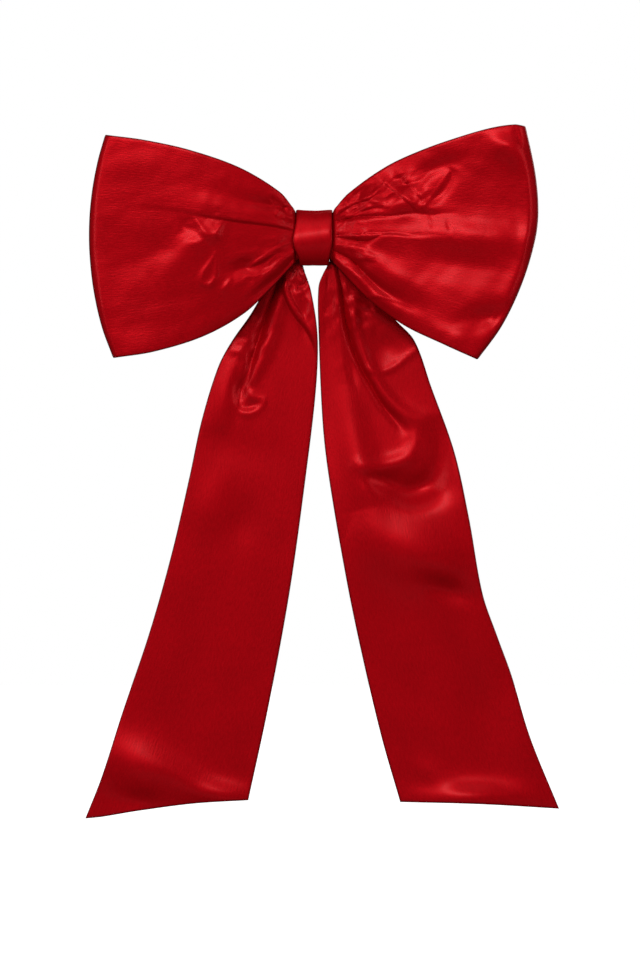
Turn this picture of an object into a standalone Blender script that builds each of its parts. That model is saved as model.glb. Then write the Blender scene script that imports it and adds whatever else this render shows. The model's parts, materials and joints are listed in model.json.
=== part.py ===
"""Large satin hair bow with long tails, on a French barrette.

Metres, +Z up. The bow's face looks along -Y and +X is to the right of someone who looks at it.
The origin is the middle of the jaw that closes on the hair, behind the knot.

Two doubled-satin loops and one doubled-satin tail strip are gathered together, wound with thread and
wrapped in a knot band. The band also goes round the barrette's base bar. The tail strip is cut into
three nodes where it hinges: the gathered middle behind the knot, and the two hanging tails.
"""

import math

import bmesh
import bpy
from mathutils import Vector

MM = 0.001
GAP = 0.3 * MM  # between pieces that touch on the real bow

# Depth (Y) of each layer, from the face of the bow back to the hair
LOOP_Y = -15.0 * MM
TAIL_Y = -10.0 * MM
HANGING_TAIL_Y = -8.0 * MM
BASE_BACK_Y = -5.0 * MM
PIN_Y = 3.9 * MM
ARM_Y = 5.6 * MM
CATCH_END_Y = 4.6 * MM
TENSION_BAR_Y = 2.35 * MM

# Satin pieces: each is two layers of satin with a light interlining
SATIN_THICKNESS = 0.9 * MM
LOOP_FRONT_PUFF = 14.0 * MM
LOOP_BACK_PUFF = 5.5 * MM
LOOP_GATHER_DEPTH = 2.2 * MM
LOOP_FULLEST = 0.45  # share of the loop's length, from the middle of the knot
KNOT_MOUTH = 0.09

# Edges of the loops, as (distance outwards from the knot's middle, height), in millimetres
LEFT_LOOP_TOP = [(0.6, 7), (8.8, 8.2), (12, 15), (18, 22), (46, 36), (70, 42.7), (93, 45.8)]
LEFT_LOOP_BOTTOM = [(0.6, -7), (8, -8.8), (20, -24), (46, -42.8), (66, -49.8), (89, -54.3)]
LEFT_LOOP_BULGE = 9.4 * MM
RIGHT_LOOP_TOP = [(0.6, 7), (8.8, 8.2), (12, 15), (18, 22), (46, 38.4), (70, 46.8), (93, 50.6)]
RIGHT_LOOP_BOTTOM = [(0.6, -7), (8, -8.8), (20, -25), (44, -42), (60, -49.3), (73, -54.6)]
RIGHT_LOOP_BULGE = 15.0 * MM

# Edges of the gathered middle of the tail strip, out to the line where each tail hinges
LEFT_GATHER_INNER = [(0.2, -8), (7.3, -9.5), (6.4, -14), (2.8, -24), (0.2, -42), (-0.2, -55)]
LEFT_GATHER_OUTER = [(0.2, 8), (8.2, 9), (16.5, 0), (24, -17), (30, -34), (36, -44.5)]
RIGHT_GATHER_INNER = [(0.2, -8), (7.6, -9.5), (7.4, -14), (3.6, -24), (2.2, -42), (2.3, -61)]
RIGHT_GATHER_OUTER = [(0.2, 8), (8.2, 9), (17, 0), (27, -18), (39, -39), (46.5, -48.5)]
GATHER_THICKNESS = 2.8 * MM

# Edges of the hanging tails, from the hinge line down to the slanted cut
LEFT_TAIL_INNER = [(-0.2, -56.6), (1.8, -93), (6.8, -129), (15, -179), (30, -253)]
LEFT_TAIL_OUTER = [(36.8, -46), (46, -64), (52.5, -93), (61, -129), (74.5, -179), (103, -261)]
RIGHT_TAIL_INNER = [(2.4, -62.6), (4.6, -93), (10.3, -129), (19.8, -179), (38.6, -254)]
RIGHT_TAIL_OUTER = [(47.3, -50), (59.3, -86), (68, -118), (75.5, -160), (89, -199), (110, -256.5)]
TAIL_WAVE = 4.0 * MM
LEFT_TAIL_HINGE = ((-36.4, -45.3), (0.2, -55.9))
RIGHT_TAIL_HINGE = ((2.4, -61.8), (46.9, -49.3))

# Knot band, a flattened ring round the gathered middle and the barrette's base bar
KNOT_CENTRE_Y = -12.3 * MM
KNOT_HALF_DEPTH = 8.5 * MM
KNOT_HALF_HEIGHT = 11.7 * MM
KNOT_HALF_WIDTH = 8.2 * MM
KNOT_BOTTOM_HALF_WIDTH = 6.2 * MM
KNOT_SQUARENESS = 2.8
KNOT_THICKNESS = 1.0 * MM

THREAD_RADIUS = 0.25 * MM
THREAD_TURNS = 4
THREAD_PITCH = 0.75 * MM
THREAD_CENTRE_Y = -13.1 * MM
THREAD_HALF_DEPTH = 5.5 * MM
THREAD_HALF_HEIGHT = 10.2 * MM
THREAD_SQUARENESS = 5.0
SEAM_STITCHES = 7
SEAM_STITCH_STEP = 2.0 * MM
SEAM_HALF_WIDTH = 1.2 * MM
FELT_SIZE = (15 * MM, 1.0 * MM, 15 * MM)
FELT_Y = -6.65 * MM

# Barrette
BASE_HALF_LENGTH = 41.0 * MM
BASE_HALF_WIDTH = 4.75 * MM
BASE_THICKNESS = 0.8 * MM
BASE_ARCH_RADIUS = 202.0 * MM
BASE_CORNER = 1.5 * MM
SEWING_HOLE_X = 28.0 * MM
SEWING_HOLE_RADIUS = 0.9 * MM
PIN_X = 38.0 * MM
PIN_RADIUS = 0.6 * MM
PIN_HOLE_RADIUS = 0.68 * MM
EAR_RADIUS = 1.8 * MM
EAR_THICKNESS = 0.7 * MM
EAR_Z = 4.3 * MM
ARM_THICKNESS = 0.7 * MM
ARM_HALF_WIDTH = 3.0 * MM
ARM_EYE_HALF_WIDTH = 3.6 * MM
ARM_CURL_RADIUS = 1.03 * MM
ARM_FLAT_HALF_LENGTH = 30.5 * MM
TENSION_THICKNESS = 0.5 * MM
TENSION_HALF_WIDTH = 2.4 * MM
TENSION_TONGUE_HALF_WIDTH = 1.05 * MM
TENSION_CURL_RADIUS = 0.93 * MM
TENSION_BOW = 0.75 * MM
TENSION_END_X = -31.0 * MM
CATCH_X = -36.5 * MM
CATCH_PLATE_X = (-40.0 * MM, -32.3 * MM)
CATCH_PLATE_HALF_WIDTH = 3.4 * MM
CATCH_PLATE_THICKNESS = 0.5 * MM
PRONG_HALF_LENGTH = 1.4 * MM
RIVET_X = -33.9 * MM
RIVET_Z = 2.2 * MM
RIVET_RADIUS = 0.5 * MM
RIVET_HOLE_RADIUS = 0.8 * MM

ROUND_STEPS = 24


# ---------- scene, collections and materials ----------

def clear_scene():
    for obj in list(bpy.data.objects):
        bpy.data.objects.remove(obj)


def new_collection(name):
    collection = bpy.data.collections.new(name)
    bpy.context.scene.collection.children.link(collection)
    return collection


def new_material(name, colour, roughness, metallic=0.0):
    material = bpy.data.materials.new(name)
    material.use_nodes = True
    shader = material.node_tree.nodes["Principled BSDF"]
    shader.inputs["Base Color"].default_value = (*colour, 1.0)
    shader.inputs["Roughness"].default_value = roughness
    shader.inputs["Metallic"].default_value = metallic
    return material


def add_object(name, data, collection, material=None):
    obj = bpy.data.objects.new(name, data)
    collection.objects.link(obj)
    if material:
        data.materials.append(material)
    return obj


def mesh_object(name, bm, collection, material=None):
    bmesh.ops.recalc_face_normals(bm, faces=bm.faces)
    mesh = bpy.data.meshes.new(name)
    bm.to_mesh(mesh)
    bm.free()
    return add_object(name, mesh, collection, material)


def shade_round(obj, angle=0.6):
    obj.data.shade_smooth()
    obj.data.set_sharp_from_angle(angle=angle)


# ---------- shape helpers ----------

def smooth_step(t):
    t = min(max(t, 0.0), 1.0)
    return t * t * (3 - 2 * t)


def on_curve(points, t):
    """Point at share t of a smooth curve through (x, z) points, in the points' own units."""
    knots = [0.0]
    for a, b in zip(points, points[1:]):
        knots.append(knots[-1] + math.dist(a, b))
    where = min(max(t, 0.0), 1.0) * knots[-1]
    i = min(max(sum(k <= where for k in knots) - 1, 0), len(points) - 2)
    span = knots[i + 1] - knots[i]
    s = (where - knots[i]) / span
    before, after = max(i - 1, 0), min(i + 2, len(points) - 1)
    value = []
    for axis in (0, 1):
        p, q = points[i][axis], points[i + 1][axis]
        slope_p = (q - points[before][axis]) / (knots[i + 1] - knots[before])
        slope_q = (points[after][axis] - p) / (knots[after] - knots[i])
        h = s * s * (3 - 2 * s)
        ease = s * (1 - s) * span
        value.append(p + (q - p) * h + ease * ((1 - s) * slope_p - s * slope_q))
    return value


def mapped_grid(name, along, across, place, collection, material, closed=False):
    """A grid of faces whose corners go where place(u, v) says, for u and v from 0 to 1."""
    bm = bmesh.new()
    bmesh.ops.create_grid(bm, x_segments=along, y_segments=across, size=0.5)
    for vertex in bm.verts:
        vertex.co = place(vertex.co.x + 0.5, vertex.co.y + 0.5)
    if closed:
        bmesh.ops.remove_doubles(bm, verts=bm.verts, dist=0.01 * MM)
    return mesh_object(name, bm, collection, material)


def thicken(obj, thickness):
    modifier = obj.modifiers.new("Thickness", "SOLIDIFY")
    modifier.thickness = thickness
    modifier.offset = 0


def boolean(obj, other, operation="DIFFERENCE"):
    modifier = obj.modifiers.new(f"{operation.title()} {other.name}", "BOOLEAN")
    modifier.operation = operation
    modifier.object = other
    modifier.solver = "EXACT"


def helper_cylinder(name, radius, depth, centre, axis, steps=ROUND_STEPS):
    bm = bmesh.new()
    bmesh.ops.create_cone(
        bm, cap_ends=True, segments=steps, radius1=radius, radius2=radius, depth=depth
    )
    obj = mesh_object(name, bm, HELPERS)
    obj.rotation_mode = "QUATERNION"
    obj.rotation_quaternion = Vector((0, 0, 1)).rotation_difference(Vector(axis))
    obj.location = centre
    return as_helper(obj)


def helper_box(name, low, high):
    bm = bmesh.new()
    bmesh.ops.create_cube(bm, size=1.0)
    size = Vector(high) - Vector(low)
    middle = (Vector(high) + Vector(low)) / 2
    for vertex in bm.verts:
        vertex.co = middle + Vector(c * s for c, s in zip(vertex.co, size))
    return as_helper(mesh_object(name, bm, HELPERS))


def as_helper(obj):
    obj.hide_render = True
    obj.display_type = "WIRE"
    return obj


def turned(name, profile, axis_origin, axis, material):
    """A solid of revolution. The profile lists (radius, height) from top to bottom, at +X."""
    mesh = bpy.data.meshes.new(name)
    points = [(radius, 0, height) for radius, height in profile]
    mesh.from_pydata(points, [(i, i + 1) for i in range(len(points) - 1)], [])
    obj = add_object(name, mesh, BOW, material)
    screw = obj.modifiers.new("Turn", "SCREW")
    screw.steps = screw.render_steps = ROUND_STEPS
    screw.use_merge_vertices = True
    screw.merge_threshold = 0.00001
    obj.rotation_mode = "QUATERNION"
    obj.rotation_quaternion = Vector((0, 0, 1)).rotation_difference(Vector(axis))
    obj.location = axis_origin
    return obj


def tube(name, points, radius, material):
    curve = bpy.data.curves.new(name, "CURVE")
    curve.dimensions = "3D"
    curve.bevel_depth = radius
    curve.bevel_resolution = 1
    curve.use_fill_caps = True
    spline = curve.splines.new("POLY")
    spline.points.add(len(points) - 1)
    for target, point in zip(spline.points, points):
        target.co = (*point, 1.0)
    return add_object(name, curve, BOW, material)


def rounded_ring(angle, centre_y, half_depth, half_height, squareness):
    """(y, z) on a squared-off ellipse round the X axis. Angle 0 is its back."""
    c, s = math.cos(angle), math.sin(angle)
    y = math.copysign(abs(c) ** (2 / squareness), c) * half_depth + centre_y
    z = math.copysign(abs(s) ** (2 / squareness), s) * half_height
    return y, z


# ---------- satin pieces ----------

def loop_depth(share, peak):
    """How far a loop's panel stands from the loop's middle plane, at a share of its length."""
    if share < LOOP_FULLEST:
        rise = smooth_step((share - KNOT_MOUTH) / (LOOP_FULLEST - KNOT_MOUTH))
        return LOOP_GATHER_DEPTH + (peak - LOOP_GATHER_DEPTH) * rise
    past = (share - LOOP_FULLEST) / (1 - LOOP_FULLEST)
    return peak * math.sqrt(max(0.0, 1 - past**2))


def make_loop(name, side, top, bottom, bulge):
    """A loop goes out over the front, folds at its outer end and comes back behind."""
    def place(u, v):
        share = math.sin(math.pi * u) ** 1.5
        x0, z0 = on_curve(bottom, share)
        x1, z1 = on_curve(top, share)
        across = 4 * v * (1 - v)
        out = (x0 + (x1 - x0) * v) * MM + bulge * across * share**2
        peak = -LOOP_FRONT_PUFF if u < 0.5 else LOOP_BACK_PUFF
        depth = math.copysign(loop_depth(share, abs(peak)), peak) if share < 1 else 0.0
        y = LOOP_Y + depth * (0.8 + 0.2 * across)
        return Vector((side * out, y, (z0 + (z1 - z0) * v) * MM))

    loop = mapped_grid(name, 36, 8, place, BOW, SATIN)
    thicken(loop, SATIN_THICKNESS)
    shade_round(loop)


def make_tail_gather():
    """The middle of the tail strip: level and gathered in the knot, it turns down on both sides."""
    def place(u, v):
        left = u < 0.5
        inner = LEFT_GATHER_INNER if left else RIGHT_GATHER_INNER
        outer = LEFT_GATHER_OUTER if left else RIGHT_GATHER_OUTER
        side = -1 if left else 1
        share = abs(2 * u - 1)
        x0, z0 = on_curve(inner, share)
        x1, z1 = on_curve(outer, share)
        if share == 0:
            x0 = x1 = 0.0
        y = TAIL_Y + (HANGING_TAIL_Y - TAIL_Y) * smooth_step((share - 0.15) / 0.6)
        x = side * (x0 + (x1 - x0) * v)
        return Vector((x * MM, y, (z0 + (z1 - z0) * v) * MM))

    gather = mapped_grid("tail_gather", 32, 6, place, BOW, SATIN)
    thick = gather.vertex_groups.new(name="gathered")
    for vertex in gather.data.vertices:
        reach = max(abs(vertex.co.x) - 8 * MM, abs(vertex.co.z) - 10 * MM, 0.0)
        thick.add([vertex.index], 1 - smooth_step(reach / (14 * MM)), "REPLACE")
    thicken(gather, GATHER_THICKNESS)
    modifier = gather.modifiers[0]
    modifier.vertex_group = thick.name
    modifier.thickness_vertex_group = SATIN_THICKNESS / GATHER_THICKNESS
    shade_round(gather)


def make_tail(name, side, inner, outer, phase):
    def place(u, v):
        x0, z0 = on_curve(inner, u)
        x1, z1 = on_curve(outer, u)
        wave = -TAIL_WAVE * math.sin(math.pi * u) ** 2
        wave += 0.5 * TAIL_WAVE * u * u * math.sin(2 * math.pi * v + phase)
        x = side * (x0 + (x1 - x0) * v)
        return Vector((x * MM, HANGING_TAIL_Y + wave, (z0 + (z1 - z0) * v) * MM))

    tail = mapped_grid(name, 20, 6, place, BOW, SATIN)
    thicken(tail, SATIN_THICKNESS)
    shade_round(tail)


def knot_half_width(z):
    """The band is a little narrower where it turns under the knot."""
    low = smooth_step((-z - 0.3 * KNOT_HALF_HEIGHT) / (0.6 * KNOT_HALF_HEIGHT))
    return KNOT_HALF_WIDTH + (KNOT_BOTTOM_HALF_WIDTH - KNOT_HALF_WIDTH) * low


def make_knot_band():
    def place(u, v):
        y, z = rounded_ring(
            2 * math.pi * u, KNOT_CENTRE_Y, KNOT_HALF_DEPTH, KNOT_HALF_HEIGHT, KNOT_SQUARENESS
        )
        return Vector(((2 * v - 1) * knot_half_width(z), y, z))

    band = mapped_grid("knot_band", 40, 6, place, BOW, SATIN, closed=True)
    thicken(band, KNOT_THICKNESS)
    shade_round(band)


# ---------- threads and felt ----------

def make_gather_thread():
    per_turn = 16
    points = []
    for i in range(THREAD_TURNS * per_turn + 1):
        angle = 2 * math.pi * i / per_turn
        y, z = rounded_ring(
            angle, THREAD_CENTRE_Y, THREAD_HALF_DEPTH, THREAD_HALF_HEIGHT, THREAD_SQUARENESS
        )
        x = (i / per_turn - THREAD_TURNS / 2) * THREAD_PITCH
        points.append((x, y, z))
    tube("gather_thread", points, THREAD_RADIUS, THREAD)


def make_seam_thread():
    """The whip stitches that close the knot band at its back."""
    points = []
    lift = KNOT_THICKNESS / 2 + THREAD_RADIUS + GAP
    for i in range(SEAM_STITCHES):
        z = (i - (SEAM_STITCHES - 1) / 2) * SEAM_STITCH_STEP
        flat = 1 - abs(z / KNOT_HALF_HEIGHT) ** KNOT_SQUARENESS
        y = KNOT_CENTRE_Y + KNOT_HALF_DEPTH * flat ** (1 / KNOT_SQUARENESS) + lift
        points.append((SEAM_HALF_WIDTH * (-1) ** i, y, z))
    tube("knot_seam_thread", points, THREAD_RADIUS, THREAD)


def make_felt_pad():
    half = Vector(FELT_SIZE) / 2
    pad = helper_box("felt_pad", Vector((0, FELT_Y, 0)) - half, Vector((0, FELT_Y, 0)) + half)
    HELPERS.objects.unlink(pad)
    BOW.objects.link(pad)
    pad.hide_render = False
    pad.display_type = "TEXTURED"
    pad.data.materials.append(FELT)
    bevel = pad.modifiers.new("Soft edges", "BEVEL")
    bevel.width = 0.25 * MM
    bevel.segments = 2


# ---------- barrette ----------

def base_back(x):
    return BASE_BACK_Y + x * x / (2 * BASE_ARCH_RADIUS)


def base_slope(x):
    return math.atan(x / BASE_ARCH_RADIUS)


def rounded_half_width(x, half_length, half_width, corner):
    past = max(0.0, abs(x) - (half_length - corner))
    return half_width - corner + math.sqrt(max(0.0, corner**2 - past**2))


def make_base():
    def place(u, v):
        x = BASE_HALF_LENGTH * math.sin(math.pi * (u - 0.5))
        half = rounded_half_width(x, BASE_HALF_LENGTH, BASE_HALF_WIDTH, BASE_CORNER)
        return Vector((x, base_back(x) - BASE_THICKNESS / 2, (2 * v - 1) * half))

    base = mapped_grid("barrette_base", 32, 2, place, BOW, STEEL)
    thicken(base, BASE_THICKNESS)
    for sign, label in ((-1, "lower"), (1, "upper")):
        half = Vector((EAR_RADIUS, 0, EAR_THICKNESS / 2))
        foot = Vector((PIN_X, base_back(PIN_X) - BASE_THICKNESS / 2, sign * EAR_Z))
        stem = helper_box(f"ear_stem_{label}", foot - half, Vector((PIN_X, PIN_Y, foot.z)) + half)
        top = helper_cylinder(
            f"ear_top_{label}", EAR_RADIUS, EAR_THICKNESS, (PIN_X, PIN_Y, foot.z), (0, 0, 1)
        )
        boolean(base, stem, "UNION")
        boolean(base, top, "UNION")
    boolean(base, helper_cylinder(
        "pin_hole", PIN_HOLE_RADIUS, 14 * MM, (PIN_X, PIN_Y, 0), (0, 0, 1)
    ))
    for x, label in ((-SEWING_HOLE_X, "left"), (SEWING_HOLE_X, "right")):
        boolean(base, helper_cylinder(
            f"sewing_hole_{label}", SEWING_HOLE_RADIUS, 8 * MM, (x, base_back(x), 0), (0, 1, 0)
        ))
    for hole in RIVET_HOLES:
        boolean(base, hole)
    shade_round(base)


def curl(centre, radius, start, end, steps):
    """Points (x, y) on an arc from start to end, in degrees."""
    angles = [math.radians(start + (end - start) * i / steps) for i in range(steps + 1)]
    return [(centre[0] + radius * math.cos(a), centre[1] + radius * math.sin(a)) for a in angles]


def strip(name, path, half_width, thickness):
    """A strip of sheet metal whose middle line is path, as (x, y) points."""
    def place(u, v):
        x, y = path[round(u * (len(path) - 1))]
        return Vector((x, y, (2 * v - 1) * half_width(x)))

    obj = mapped_grid(name, len(path) - 1, 2, place, BOW, STEEL)
    thicken(obj, thickness)
    return obj


def make_clasp_arm():
    pin = (PIN_X, PIN_Y)
    path = curl(pin, ARM_CURL_RADIUS, -170, 90, 12)
    leave = PIN_Y + ARM_CURL_RADIUS
    flat = ARM_FLAT_HALF_LENGTH
    path += [(35.5 * MM, leave), (33 * MM, leave), (flat, ARM_Y)]
    path += [(flat * (1 - i / 4), ARM_Y) for i in range(1, 9)]
    path += [(-32.8 * MM, CATCH_END_Y), (-35 * MM, CATCH_END_Y), (-38 * MM, CATCH_END_Y)]
    path += [(-40 * MM, CATCH_END_Y), (-41 * MM, CATCH_END_Y + 0.4 * MM)]

    def half_width(x):
        wider = smooth_step((-x - flat) / (2.3 * MM))
        return ARM_HALF_WIDTH + (ARM_EYE_HALF_WIDTH - ARM_HALF_WIDTH) * wider

    arm = strip("clasp_arm", path, half_width, ARM_THICKNESS)
    boolean(arm, helper_box(
        "tongue_notch", (31.6 * MM, 0, -1.4 * MM), (41 * MM, 7 * MM, 1.4 * MM)
    ))
    boolean(arm, helper_box(
        "catch_eye", (-38.4 * MM, 3 * MM, -2.35 * MM), (-34.6 * MM, 7 * MM, 2.35 * MM)
    ))
    shade_round(arm)


def make_tension_bar():
    path = curl((PIN_X, PIN_Y), TENSION_CURL_RADIUS, 160, -90, 12)
    path.append((36 * MM, PIN_Y - TENSION_CURL_RADIUS))
    start = 33 * MM
    steps = 14
    for i in range(steps + 1):
        x = start + (TENSION_END_X - start) * i / steps
        path.append((x, TENSION_BAR_Y + TENSION_BOW * (x / start) ** 2))

    def half_width(x):
        tongue = smooth_step((x - 28 * MM) / (4 * MM))
        return TENSION_HALF_WIDTH + (TENSION_TONGUE_HALF_WIDTH - TENSION_HALF_WIDTH) * tongue

    bar = strip("tension_bar", path, half_width, TENSION_THICKNESS)
    shade_round(bar)


def make_hinge_pin():
    head, half = 1.0 * MM, EAR_Z + EAR_THICKNESS / 2 + GAP
    cap = 0.5 * MM
    profile = [
        (0, half + cap), (0.7 * head, half + cap), (head, half + 0.5 * cap), (head, half),
        (PIN_RADIUS, half), (PIN_RADIUS, -half), (head, -half), (head, -half - 0.5 * cap),
        (0.7 * head, -half - cap), (0, -half - cap),
    ]
    pin = turned("hinge_pin", profile, (PIN_X, PIN_Y, 0), (0, 0, 1), STEEL)
    shade_round(pin)


def catch_plate_lift():
    return GAP + CATCH_PLATE_THICKNESS / 2


def make_catch_plate():
    x0, x1 = CATCH_PLATE_X

    def place(u, v):
        x = x0 + (x1 - x0) * u
        return Vector((x, base_back(x) + catch_plate_lift(), (2 * v - 1) * CATCH_PLATE_HALF_WIDTH))

    plate = mapped_grid("catch_plate", 6, 2, place, BOW, STEEL)
    thicken(plate, CATCH_PLATE_THICKNESS)
    for hole in RIVET_HOLES:
        boolean(plate, hole)
    shade_round(plate)


def rivet_frame(z):
    """(a point in the middle of the base's thickness, the base's normal there)."""
    slope = base_slope(RIVET_X)
    normal = Vector((-math.sin(slope), math.cos(slope), 0))
    point = Vector((RIVET_X, base_back(RIVET_X), z)) - normal * BASE_THICKNESS / 2
    return point, normal


def make_rivet(name, z):
    point, normal = rivet_frame(z)
    top = BASE_THICKNESS / 2 + CATCH_PLATE_THICKNESS + 2 * GAP
    bottom = -BASE_THICKNESS / 2 - GAP
    head, tail = 1.1 * MM, 1.0 * MM
    profile = [
        (0, top + 0.45 * MM), (0.6 * head, top + 0.35 * MM), (head, top + 0.1 * MM), (head, top),
        (RIVET_RADIUS, top), (RIVET_RADIUS, bottom), (tail, bottom),
        (tail, bottom - 0.2 * MM), (0.7 * tail, bottom - 0.35 * MM), (0, bottom - 0.35 * MM),
    ]
    shade_round(turned(name, profile, point, normal, STEEL))


def make_prong(name, side):
    """A springy prong with a barb on its outer side, as an outline in the YZ plane."""
    root = base_back(CATCH_X) + GAP + CATCH_PLATE_THICKNESS + 0.35 * MM
    inner, outer, barb = 1.2 * MM, 1.7 * MM, 2.05 * MM
    barb_y = CATCH_END_Y + ARM_THICKNESS / 2 + 0.25 * MM
    tip_y = ARM_Y + ARM_THICKNESS / 2 - 0.15 * MM
    outline = [
        (root, inner), (root, outer), (barb_y, outer), (barb_y, barb),
        (barb_y + 0.15 * MM, barb), (tip_y, inner + 0.25 * MM), (tip_y, inner),
    ]
    curve = bpy.data.curves.new(name, "CURVE")
    curve.dimensions = "2D"
    curve.fill_mode = "BOTH"
    curve.extrude = PRONG_HALF_LENGTH
    spline = curve.splines.new("POLY")
    spline.points.add(len(outline) - 1)
    for target, (y, z) in zip(spline.points, outline):
        target.co = (y, side * z, 0, 1)
    spline.use_cyclic_u = True
    prong = add_object(name, curve, BOW, STEEL)
    prong.rotation_euler = (math.pi / 2, 0, math.pi / 2)
    prong.location = (CATCH_X, 0, 0)


def main():
    make_loop("left_loop", -1, LEFT_LOOP_TOP, LEFT_LOOP_BOTTOM, LEFT_LOOP_BULGE)
    make_loop("right_loop", 1, RIGHT_LOOP_TOP, RIGHT_LOOP_BOTTOM, RIGHT_LOOP_BULGE)
    make_tail_gather()
    make_tail("left_tail", -1, LEFT_TAIL_INNER, LEFT_TAIL_OUTER, 0.0)
    make_tail("right_tail", 1, RIGHT_TAIL_INNER, RIGHT_TAIL_OUTER, math.pi)
    make_knot_band()
    make_gather_thread()
    make_seam_thread()
    make_felt_pad()
    make_base()
    make_clasp_arm()
    make_tension_bar()
    make_hinge_pin()
    make_catch_plate()
    make_rivet("catch_rivet_upper", RIVET_Z)
    make_rivet("catch_rivet_lower", -RIVET_Z)
    make_prong("catch_prong_upper", 1)
    make_prong("catch_prong_lower", -1)


clear_scene()
BOW = new_collection("Hair bow")
HELPERS = new_collection("Cutters")
SATIN = new_material("Red satin", (0.30, 0.002, 0.005), 0.32)
THREAD = new_material("Red thread", (0.25, 0.002, 0.004), 0.6)
FELT = new_material("Red felt", (0.2, 0.004, 0.006), 0.95)
STEEL = new_material("Nickel-plated steel", (0.62, 0.61, 0.59), 0.25, 1.0)
RIVET_HOLES = [
    helper_cylinder(f"rivet_hole_{i}", RIVET_HOLE_RADIUS, 6 * MM, *rivet_frame(z))
    for i, z in enumerate((RIVET_Z, -RIVET_Z))
]
main()
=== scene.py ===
"""Looks of the satin hair bow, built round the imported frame.

Metres, +Z up, the bow's face towards -Y. Distances in the shape lists are millimetres: x to the
right and z up from the middle of the knot, and heights towards the viewer.
"""
import json
import math

import bmesh
import bpy
import numpy as np
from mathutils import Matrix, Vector


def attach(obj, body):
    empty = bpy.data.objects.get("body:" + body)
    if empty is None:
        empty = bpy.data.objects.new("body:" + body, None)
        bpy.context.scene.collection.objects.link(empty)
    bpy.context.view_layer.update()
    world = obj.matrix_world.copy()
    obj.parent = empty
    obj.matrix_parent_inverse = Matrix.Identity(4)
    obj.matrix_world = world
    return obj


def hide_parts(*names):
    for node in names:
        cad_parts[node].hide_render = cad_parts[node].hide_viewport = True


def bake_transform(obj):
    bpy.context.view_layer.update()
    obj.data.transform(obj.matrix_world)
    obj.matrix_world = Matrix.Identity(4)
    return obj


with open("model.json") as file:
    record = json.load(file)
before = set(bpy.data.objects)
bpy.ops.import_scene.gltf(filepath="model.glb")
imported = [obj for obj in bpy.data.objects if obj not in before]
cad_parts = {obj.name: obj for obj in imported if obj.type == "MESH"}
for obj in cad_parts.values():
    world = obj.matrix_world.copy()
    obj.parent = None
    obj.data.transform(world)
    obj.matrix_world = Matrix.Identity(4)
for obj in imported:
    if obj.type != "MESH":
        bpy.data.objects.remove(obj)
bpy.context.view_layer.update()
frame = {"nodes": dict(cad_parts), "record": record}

MM = 0.001
CAMERA = (2.6, -1515, -109)
OUTLINE_Y = -18.3  # depth at which the listed outlines fit the view

LOOP_MID_Y = -15.0
KNOT_Y = -12.3
SATIN = 0.95  # thickness of a doubled-satin piece
RIM = 1.1  # how far in from an edge its rounding starts
CRISP = 1.25  # a narrow crease gets this much of its listed height
TO_LIGHT = (-0.45, 0.893)  # towards the key light, in x and z
STEEPEST = 0.52  # a ridge stands no higher than this share of its width
LIT_SIDE = 0.7  # a fold is listed where its lit side is; its crest lies this many widths beyond
FRONT_ROWS = 170  # rows of points over a loop's front
FOLD_ROWS = 14  # closer rows just before its outer fold
FELT_HALF = 7.5
FELT_Y = -7.35
FELT_THICKNESS = 3.0

# ---------- edges of the pieces ----------

LEFT_LOOP_TOP = [
    (-1, 7.5), (-7, 9.7), (-9.4, 13), (-15.5, 20.2), (-32.5, 30.9), (-55, 39), (-76, 43.7), (-93.4, 46),
]
LEFT_LOOP_BOTTOM = [
    (-1, -7.5), (-7, -9.5), (-10.6, -13.4), (-20, -23.5), (-32, -34.6), (-50, -44.6), (-72, -51.4),
    (-89.8, -54.2),
]
LEFT_LOOP_OUTER = [
    (-89.8, -54.2), (-95, -40), (-98.6, -24), (-100.4, -8), (-100.6, 6), (-99.4, 20), (-96.8, 34),
    (-93.4, 46),
]

RIGHT_LOOP_TOP = [
    (1, 7.5), (7, 9.7), (9.4, 12.9), (15.5, 19.8), (32, 31.6), (48, 39.1), (66, 45.4), (80, 49.3),
    (90, 50.7), (94.4, 50),
]
RIGHT_LOOP_BOTTOM = [
    (1, -7.5), (7, -9.5), (10.4, -13.3), (24, -27.5), (40, -39.4), (58, -48.1), (72.9, -54.8),
]
RIGHT_LOOP_OUTER = [
    (72.9, -54.8), (84, -39.4), (93, -20.4), (98.8, -1), (100.2, 12), (98.8, 29), (94.4, 50),
]

LEFT_TAIL_INNER = [
    (-1, -7), (-5.4, -10), (-1.4, -24), (1.5, -44), (0.9, -67), (-3.6, -106), (-11, -159),
    (-20.6, -211), (-29.6, -252.8),
]
LEFT_TAIL_OUTER = [
    (-4, 7), (-8.4, 5), (-20, -19), (-28, -33.7), (-37.2, -47), (-43.2, -58.4), (-50.6, -82.4),
    (-56, -107.5), (-64, -142), (-74, -177.5), (-86, -213), (-95.5, -242.5), (-102.8, -261),
]
RIGHT_TAIL_INNER = [
    (1, -7), (7.4, -10), (4.4, -15), (1.9, -22), (2, -44), (3.9, -85), (6.9, -110), (14.5, -154),
    (21, -185.5), (30.1, -224), (38.6, -253.6),
]
RIGHT_TAIL_OUTER = [
    (4, 7), (8.6, 5), (16, -7.6), (24, -20), (36, -36.5), (45, -46.4), (52.5, -67), (63, -96.6),
    (69.5, -126), (75.6, -160), (82, -178.6), (88.5, -196.4), (97, -224.6), (110, -256.6),
]

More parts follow.
